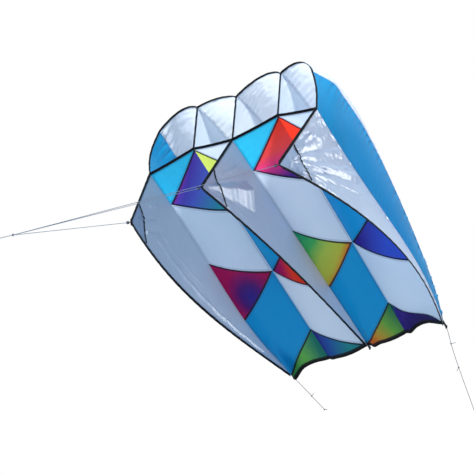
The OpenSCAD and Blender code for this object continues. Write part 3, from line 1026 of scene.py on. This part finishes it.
def fold_lines(k, grid, s):
    """Creased ridges along straight lines on the keel, with a flat flank below and a steep one above."""
    lift = 0 * s
    flat = grid[..., 1:]
    root, edge = foot_point(KEEL_RIB[k], s), keel_edge(k, s)
    tilt = (edge[..., 0] - root[..., 0]) / (root[..., 2] - edge[..., 2])
    slope = np.clip(tilt + FLANK_TILT[k], 0, 0.5)
    for start, end, width, end_width in FOLDS[k]:
        a, b = (keel_point(k, np.array([float(p[0])]), np.array([float(p[1])]))[0, 1:] for p in (start, end))
        way, length = unit(b - a), np.linalg.norm(b - a)
        run = (flat - a) @ way
        wave = 0.0016 * np.sin(run * 60 + start[0] * 50) + 0.0008 * np.sin(run * 210 + start[1] * 30)
        beside = (flat - a) @ np.array([-way[1], way[0]]) + wave
        share = run / length
        along = smooth(-0.05, 0.04, share) * smooth(-0.03, 0.05, 1 - share)
        flank = lerp(width, end_width, np.clip(share, 0, 1)) * along + 1e-5
        rise_to = np.where(beside < 0, 1 + beside / flank, 1 - beside / (0.5 * flank))
        lift = lift + slope * flank * np.clip(rise_to, 0, 1)
    return lift


def keel_cloth(k, s, v):
    """A keel with the folds that the pull on its tip draws in it. Both arrays are grids."""
    grid = keel_point(k, s, v)
    off = grid - KEEL_TIP[k]
    far = np.linalg.norm(off, axis=-1)
    turn = np.arctan2(off[..., 2], off[..., 1])
    fan = 4 * facets(turn * 9 + 6 * far, np.log(far + 0.05) * 2.6, 200 + k)
    fan = fan * smooth(0.02, 0.09, far) * np.exp(-far / 0.20)
    crumple = 1.2 * facets(grid[..., 1] / 0.016, grid[..., 2] / 0.022, 300 + k) * np.exp(-far / 0.25)
    crumple = crumple + 0.6 * soft_noise(grid, 13, 320 + k)
    gathers = puckers(v * 0.30 * (1 - s) + 1e-4, CHORD * s, 240 + k, 0.025, ROOT_GATHERS[k], 0.012)
    held = within(0.05, v) * smooth(0, 0.03, s) * smooth(0, 0.05, 1 - s)
    folds = CRUMPLE[k] * (fan + crumple) + fold_lines(k, grid, s)
    grid[..., 0] += folds * held + gathers * smooth(0, 0.05, 1 - v)
    return placed(grid)


def keel_height(k, v, s):
    return v * np.linalg.norm(keel_edge(k, s) - foot_point(KEEL_RIB[k], s), axis=-1)


def make_keel(k):
    v, s = np.meshgrid(np.linspace(0, 1, KEEL_COLUMNS), np.linspace(0, 1, KEEL_ROWS))
    grid = keel_cloth(k, s, v)
    name = "keel_" + SIDES[k]
    root_away, edge_away = keel_height(k, v, s), keel_height(k, 1 - v, s)
    along = CHORD * s
    seams = nearest((root_away, along), (edge_away, along), (along, root_away))
    maps = {"flat": grid[..., 1:], "seam": seams}
    rests_on = [f"cloth_rib_{KEEL_RIB[k]}"]
    # The keel takes the bluer, darker copy of the white ripstop: painted shade
    obj = sewn("cloth_" + name, grid, maps, CLOTHS["keel"], "white", name, rests_on, body=None, held="hung")
    bend_keel(obj, k)


def bend_keel(obj, k):
    """Cloth or tape that folds along a keel's root seam as the keel sways."""
    root = placed(foot_point(KEEL_RIB[k], 0.5))
    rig.blend(obj, "canopy", "keel_" + SIDES[k], start=root, end=root - [0, 0, 0.05])


# ---- edge bindings ----

TAPE = tape_material()


def folded_profile(inner, outer, thick):
    """Section of a tape folded over a cloth edge, with a slot for it. The first number runs off the cloth."""
    half, slot_half = thick / 2, 0.0003
    nose = [(outer - half + half * math.sin(a), half * math.cos(a)) for a in np.linspace(0, PI, 7)]
    return [(-inner, half * 0.8), (-inner + 0.0008, half)] + nose + [
        (-inner + 0.0008, -half), (-inner, -half * 0.8), (-inner, -slot_half), (outer - thick, -slot_half),
        (outer - thick, slot_half), (-inner, slot_half)]


def binding(name, path, out, seed, inner=0.0015, outer=TAPE_W, thick=TAPE_T):
    """A tape folded over the cloth edge that path follows. out points off the cloth."""
    way = unit(np.gradient(path, axis=0))
    face = unit(np.cross(way, out))
    out = unit(np.cross(face, way))
    wave = 0.0005 * ripple(lengths_along(path), 0.035, seed)[:, None]
    return swept(name, path + face * wave, out, face, folded_profile(inner, outer, thick), TAPE)


def tape_piece(obj, body, *nodes):
    finish_piece(obj, body, "edge_tape", *nodes)


def cell_rows(point, stations):
    """For each station, the points across all four cells, with each point that two cells share once."""
    rows = []
    for s in stations:
        cells = [point(c, np.linspace(0, 1, 31), np.full(31, float(s))) for c in CELLS]
        rows.append(np.vstack([cells[0]] + [c[1:] for c in cells[1:]]))
    return rows


def make_canopy_bindings():
    edge, inside = cell_rows(top_point, (FRONT_S, FRONT_S + 0.02))
    tape_piece(binding("binding_mouth_top", placed(edge), edge - inside, inner=0.002, outer=0.0065, seed=11),
               "canopy", "mouth_top_tape")
    edge, inside = cell_rows(bottom_cloth, (0, 0.02))
    tape_piece(binding("binding_mouth_bottom", edge, edge - inside, seed=12), "canopy", "mouth_bottom_tape")
    edge, inside = cell_rows(bottom_cloth, (1, 0.98))
    tape_piece(binding("binding_trailing", edge, edge - inside, inner=0.002, seed=13), "canopy",
               "trailing_tape")
    for rib in RIBS:
        v = np.linspace(0.0, 1.0, 41)
        edge = placed(rib_point(rib, 0 * v, v))
        inside = placed(rib_point(rib, 0 * v + 0.02, v))
        tape_piece(binding(f"binding_rib_{rib}", edge, edge - inside, outer=0.0065, seed=20 + rib),
                   "canopy", "rib_front_tapes")


def keel_outline(k):
    """The taped edge of a keel, from its root round its tip to the tail, and the ways off the cloth."""
    v, s = np.linspace(0, 0.965, 40), np.linspace(0.012, 1, 130)
    front, edge = keel_cloth(k, 0 * v, v), keel_cloth(k, s, 0 * s + 1)
    t = np.linspace(0, 1, 9)[1:-1, None]
    tip = placed(KEEL_TIP[k])
    corner = (1 - t) ** 2 * front[-1] + 2 * t * (1 - t) * tip + t ** 2 * edge[0]
    path = np.vstack([front, corner, edge])
    inside = np.vstack([placed(keel_point(k, 0 * v + 0.04, v)), corner + [0, 0.03, 0.03],
                        placed(keel_point(k, s, 0 * s + 0.9) + [0, 0.0, 0.004])])
    return path, path - inside


def make_keel_bindings():
    for k, name in enumerate(SIDES):
        path, out = keel_outline(k)
        tape = binding("binding_keel_" + name, path, out, seed=30 + k)
        bend_keel(tape, k)
        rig.slot(tape, "edge_tape")
        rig.replaces(tape, "keel_tape_" + name)


# How far the inner edge of each corner patch swings off a straight line, and how many times
PATCH_SWING = ((-0.050, 1.3), (0.030, 2.0), (0.006, 1.0))
PATCH_TOP, PATCH_FOOT = 0.64, 0.985            # v of the inner edge's two ends
PATCH_FRONT, PATCH_BACK = 0.003, 0.125
PATCH_OFF = np.array([0.0011, 0, 0])           # the patches lie this far off the keels' cloth


def patch_edge(k, n):
    """v of the patch's inner edge; n runs from the keel's front edge to its free edge."""
    swing, times = PATCH_SWING[k]
    return lerp(PATCH_TOP, PATCH_FOOT, n) + swing * np.sin(PI * times * n) * (1 - n) ** 0.5


def make_patches():
    for k, name in enumerate(SIDES):
        share, n = np.meshgrid(np.linspace(0, 1, 13), np.linspace(0, 1, 37))
        v = lerp(patch_edge(k, n), 0.99, share)
        s = lerp(PATCH_FRONT, PATCH_BACK, n)
        grid = keel_cloth(k, s, v) + PATCH_OFF
        maps = {"flat": grid[..., 1:] + 0.5,
                "seam": np.stack([keel_height(k, v - patch_edge(k, n), s), CHORD * s], -1)}
        # The patch takes the same bluer, darker copy of the white ripstop: painted shade
        sewn("patch_" + name, grid, maps, CLOTHS["keel"], "white", "corner_patch_" + name,
             ["cloth_keel_" + name], body="keel_" + name)
        n = np.linspace(0, 1, 60)
        s = lerp(PATCH_FRONT, PATCH_BACK, n)
        edge, outside = (keel_cloth(k, s, patch_edge(k, n) - off) + 2.4 * PATCH_OFF for off in (0, 0.05))
        tape = binding("binding_patch_" + name, evenly(edge, 60), outside - edge, seed=40 + k, inner=0.0032,
                       outer=0.0034, thick=0.0016)
        tape_piece(tape, "keel_" + name)


# ---- webbing loops, tabs and hitches ----

WEBBING = webbing_material()


def strap_profile(width, thick):
    half, flat = thick / 2, width / 2 - thick / 2
    right = [(flat + half * math.sin(a), half * math.cos(a)) for a in np.linspace(0, PI, 7)]
    return right + [(-x, -y) for x, y in right]


def strap_loop(name, base, ahead, wide, width, start, eye, radius, thick):
    """A strap, its width along wide, folded round an eye: out along ahead from start, round it and back."""
    level = unit(np.cross(wide, ahead))
    ply = thick * 0.62
    turns = np.linspace(math.radians(138), math.radians(-138), 27)
    arc = [(eye + radius * math.cos(a), radius * math.sin(a)) for a in turns]
    lead = [(start, ply), (lerp(start, eye - radius, 0.4), ply), (eye - radius * 1.5, ply * 1.4)]
    outline = lead + arc + [(a, -h) for a, h in reversed(lead)]
    path = rounded(np.array([base + a * np.asarray(ahead) + h * level for a, h in outline]), 90)
    way = unit(np.gradient(path, axis=0))
    wide_all = np.broadcast_to(wide, path.shape)
    return swept(name, path, wide_all, np.cross(way, wide), strap_profile(width, thick), WEBBING)


def make_webbing():
    for k, name in enumerate(SIDES):
        tip = placed(KEEL_TIP[k])
        loop = strap_loop("loop_" + name, tip, PULL, [1, 0, 0], 0.006, -0.006, LOOP_LEN, 0.0042, 0.0012)
        finish_piece(loop, "keel_" + name, "webbing", "keel_loop_" + name)
        base = placed(foot_point(KEEL_RIB[k], 1.0) + [0, 0, TAPE_T / 2])
        tab = strap_loop("tab_" + name, base, [0, 1, 0], [0, 0, 1], 0.012, -0.012, TAB_EYE_Y - CHORD, 0.0026,
                         0.0011)
        finish_piece(tab, "canopy", "webbing", "tail_tabs")


def make_hitches():
    """The turn of each leg's cord through its webbing loop, and its knot."""
    for name, eye in zip(SIDES, LOOP_EYES):
        corners = [(-4.4, 0.6), (-2.5, 0), (2.5, 0), (4.4, 0.6), (4.9, 3.0), (4.2, 5.6), (1.2, 7.2),
                   (-1.2, 7.2), (-4.2, 5.6), (-4.9, 3.0), (-4.4, 0.6)]
        path = rounded(np.array([eye + 0.001 * (np.array([x, 0, 0]) + a * PULL) for x, a in corners]), 60)
        finish_piece(tube("hitch_" + name, path, LINE_D, BRIDLE_LINE, sides=8), "leg_hitches", "bridle_cord",
                     "leg_hitches")
        tied = knot("knot_hitch_" + name, eye + 0.0095 * PULL, PULL, BRIDLE_LINE, size=0.6,
                    tag=(0.003, 0.002, -0.003))
        finish_piece(tied, "leg_hitches", "bridle_cord")


for cell_number in CELLS:
    make_top_panel(cell_number)
    for panel_number in range(6):
        make_bottom_panel(cell_number, panel_number)
for rib_number in RIBS:
    make_rib(rib_number)
for keel_number in range(3):
    make_keel(keel_number)
make_canopy_bindings()
make_keel_bindings()
make_patches()
make_webbing()
make_hitches()

# ---- stage and light ----

SKY_BELOW, SKY_LEVEL, SKY_ABOVE = (0.42, 0.58, 0.76, 1), (0.12, 0.22, 0.38, 1), (0.88, 0.94, 1.0, 1)


def make_world():
    """The sky's light: bright above, paler below and dark along the horizon. The camera sees plain white."""
    world = bpy.data.worlds.new("studio")
    bpy.context.scene.world = world
    sky = Tree(world)
    way = sky.node("SeparateXYZ", {0: sky.node("TexCoord").outputs["Generated"]})
    height = sky.node("MapRange", {"Value": way.outputs[2], "From Min": -1}).outputs[0]
    colour = sky.ramp(height, ((0, SKY_BELOW), (0.5, SKY_LEVEL), (1, SKY_ABOVE)))
    light, seen = (sky.node("Background", {0: c}).outputs[0] for c in (colour, (1, 1, 1, 1)))
    by_camera = sky.node("LightPath").outputs["Is Camera Ray"]
    sky.node("OutputWorld", {0: sky.node("MixShader", {0: by_camera, 1: light, 2: seen}).outputs[0]})


LAMP_AWAY = 6.0


def make_lamp(name, way, size, power, colour=(1, 1, 1), mirrored=True, only=()):
    """A soft square lamp that shines from that way on the whole kite, or only on some of its pieces."""
    canopy = (cad_low + cad_high) / 2 + Vector((0, 0.2, 0.45))
    data = bpy.data.lights.new(name, "AREA")
    data.size, data.energy, data.color = size, power, colour
    lamp = bpy.data.objects.new(name, data)
    away = Vector(way).normalized()
    lamp.location = canopy + away * LAMP_AWAY
    lamp.rotation_mode = "QUATERNION"
    lamp.rotation_quaternion = away.to_track_quat("Z", "Y")
    lamp.visible_glossy = mirrored
    bpy.context.scene.collection.objects.link(lamp)
    if only:
        lit = bpy.data.collections.new("lit_by_" + name)
        for piece in bpy.data.objects:
            if piece.name.startswith(only):
                lit.objects.link(piece)
        lamp.light_linking.receiver_collection = lit
    return lamp


def make_floor():
    """A wide pale floor, far enough below the flying kite to stay out of every view from under it."""
    reach, level = 60.0, -13.0
    mesh = bpy.data.meshes.new("floor")
    corners = [(x * reach, y * reach, level) for x, y in ((-1, -1), (1, -1), (1, 1), (-1, 1))]
    mesh.from_pydata(corners, [], [(0, 1, 2, 3)])
    paint = material_tree("floor_paint")
    tone = paint.blend(paint.noise(0.4), (0.93, 0.90, 0.86, 1), (0.97, 0.94, 0.90, 1))
    shader = paint.node("BsdfPrincipled", {"Base Color": tone, "Roughness": 0.9})
    mesh.materials.append(paint.finish(shader.outputs[0]))
    floor = bpy.data.objects.new("floor", mesh)
    floor.visible_diffuse = False
    bpy.context.scene.collection.objects.link(floor)
    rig.stage(floor)


GLINTS = (480, 540, 680)      # power of each keel's lamp


def make_glints():
    """One lamp for each keel that only its coating mirrors, from the side where the flanks of its folds throw
    the light at the main view."""
    to_camera = unit(np.array(bpy.context.scene.camera.location) - np.array(placed([0, 0.2, -0.2])))
    for k, name in enumerate(SIDES):
        facing = unit([1, -0.03, -FLANK_TILT[k]])
        lamp = make_lamp("glint_" + name, 2 * (facing @ to_camera) * facing - to_camera, 2.8, GLINTS[k],
                         only=("cloth_keel_" + name, "patch_" + name))
        lamp.data.use_shadow = False
        lamp.visible_diffuse = False
        lamp.visible_transmission = False


make_world()
make_lamp("sun_lamp", (-0.10, 0.10, 0.98), 0.5, 150, (1.0, 0.97, 0.93), mirrored=False)
make_lamp("mouth_lamp", (0.50, -0.75, 0.42), 0.7, 560, (0.96, 0.98, 1.0),
          only=("cloth_top", "cloth_rib", "cloth_bottom"))
make_lamp("side_lamp", (0.25, -0.30, 0.92), 0.4, 560, mirrored=False,
          only=("cloth_keel_right", "patch_right"))
make_lamp("belly_lamp", (0.10, -0.10, -0.98), 2.0, 150, (0.93, 0.97, 1.0), mirrored=False,
          only=("cloth_bottom",))
make_glints()
make_floor()
bpy.context.scene.view_settings.view_transform = "Standard"

low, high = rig.bounds()
with open("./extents.json", "w") as size_file:
    json.dump({"cad": [list(cad_low), list(cad_high)], "visual": [list(low), list(high)]}, size_file)
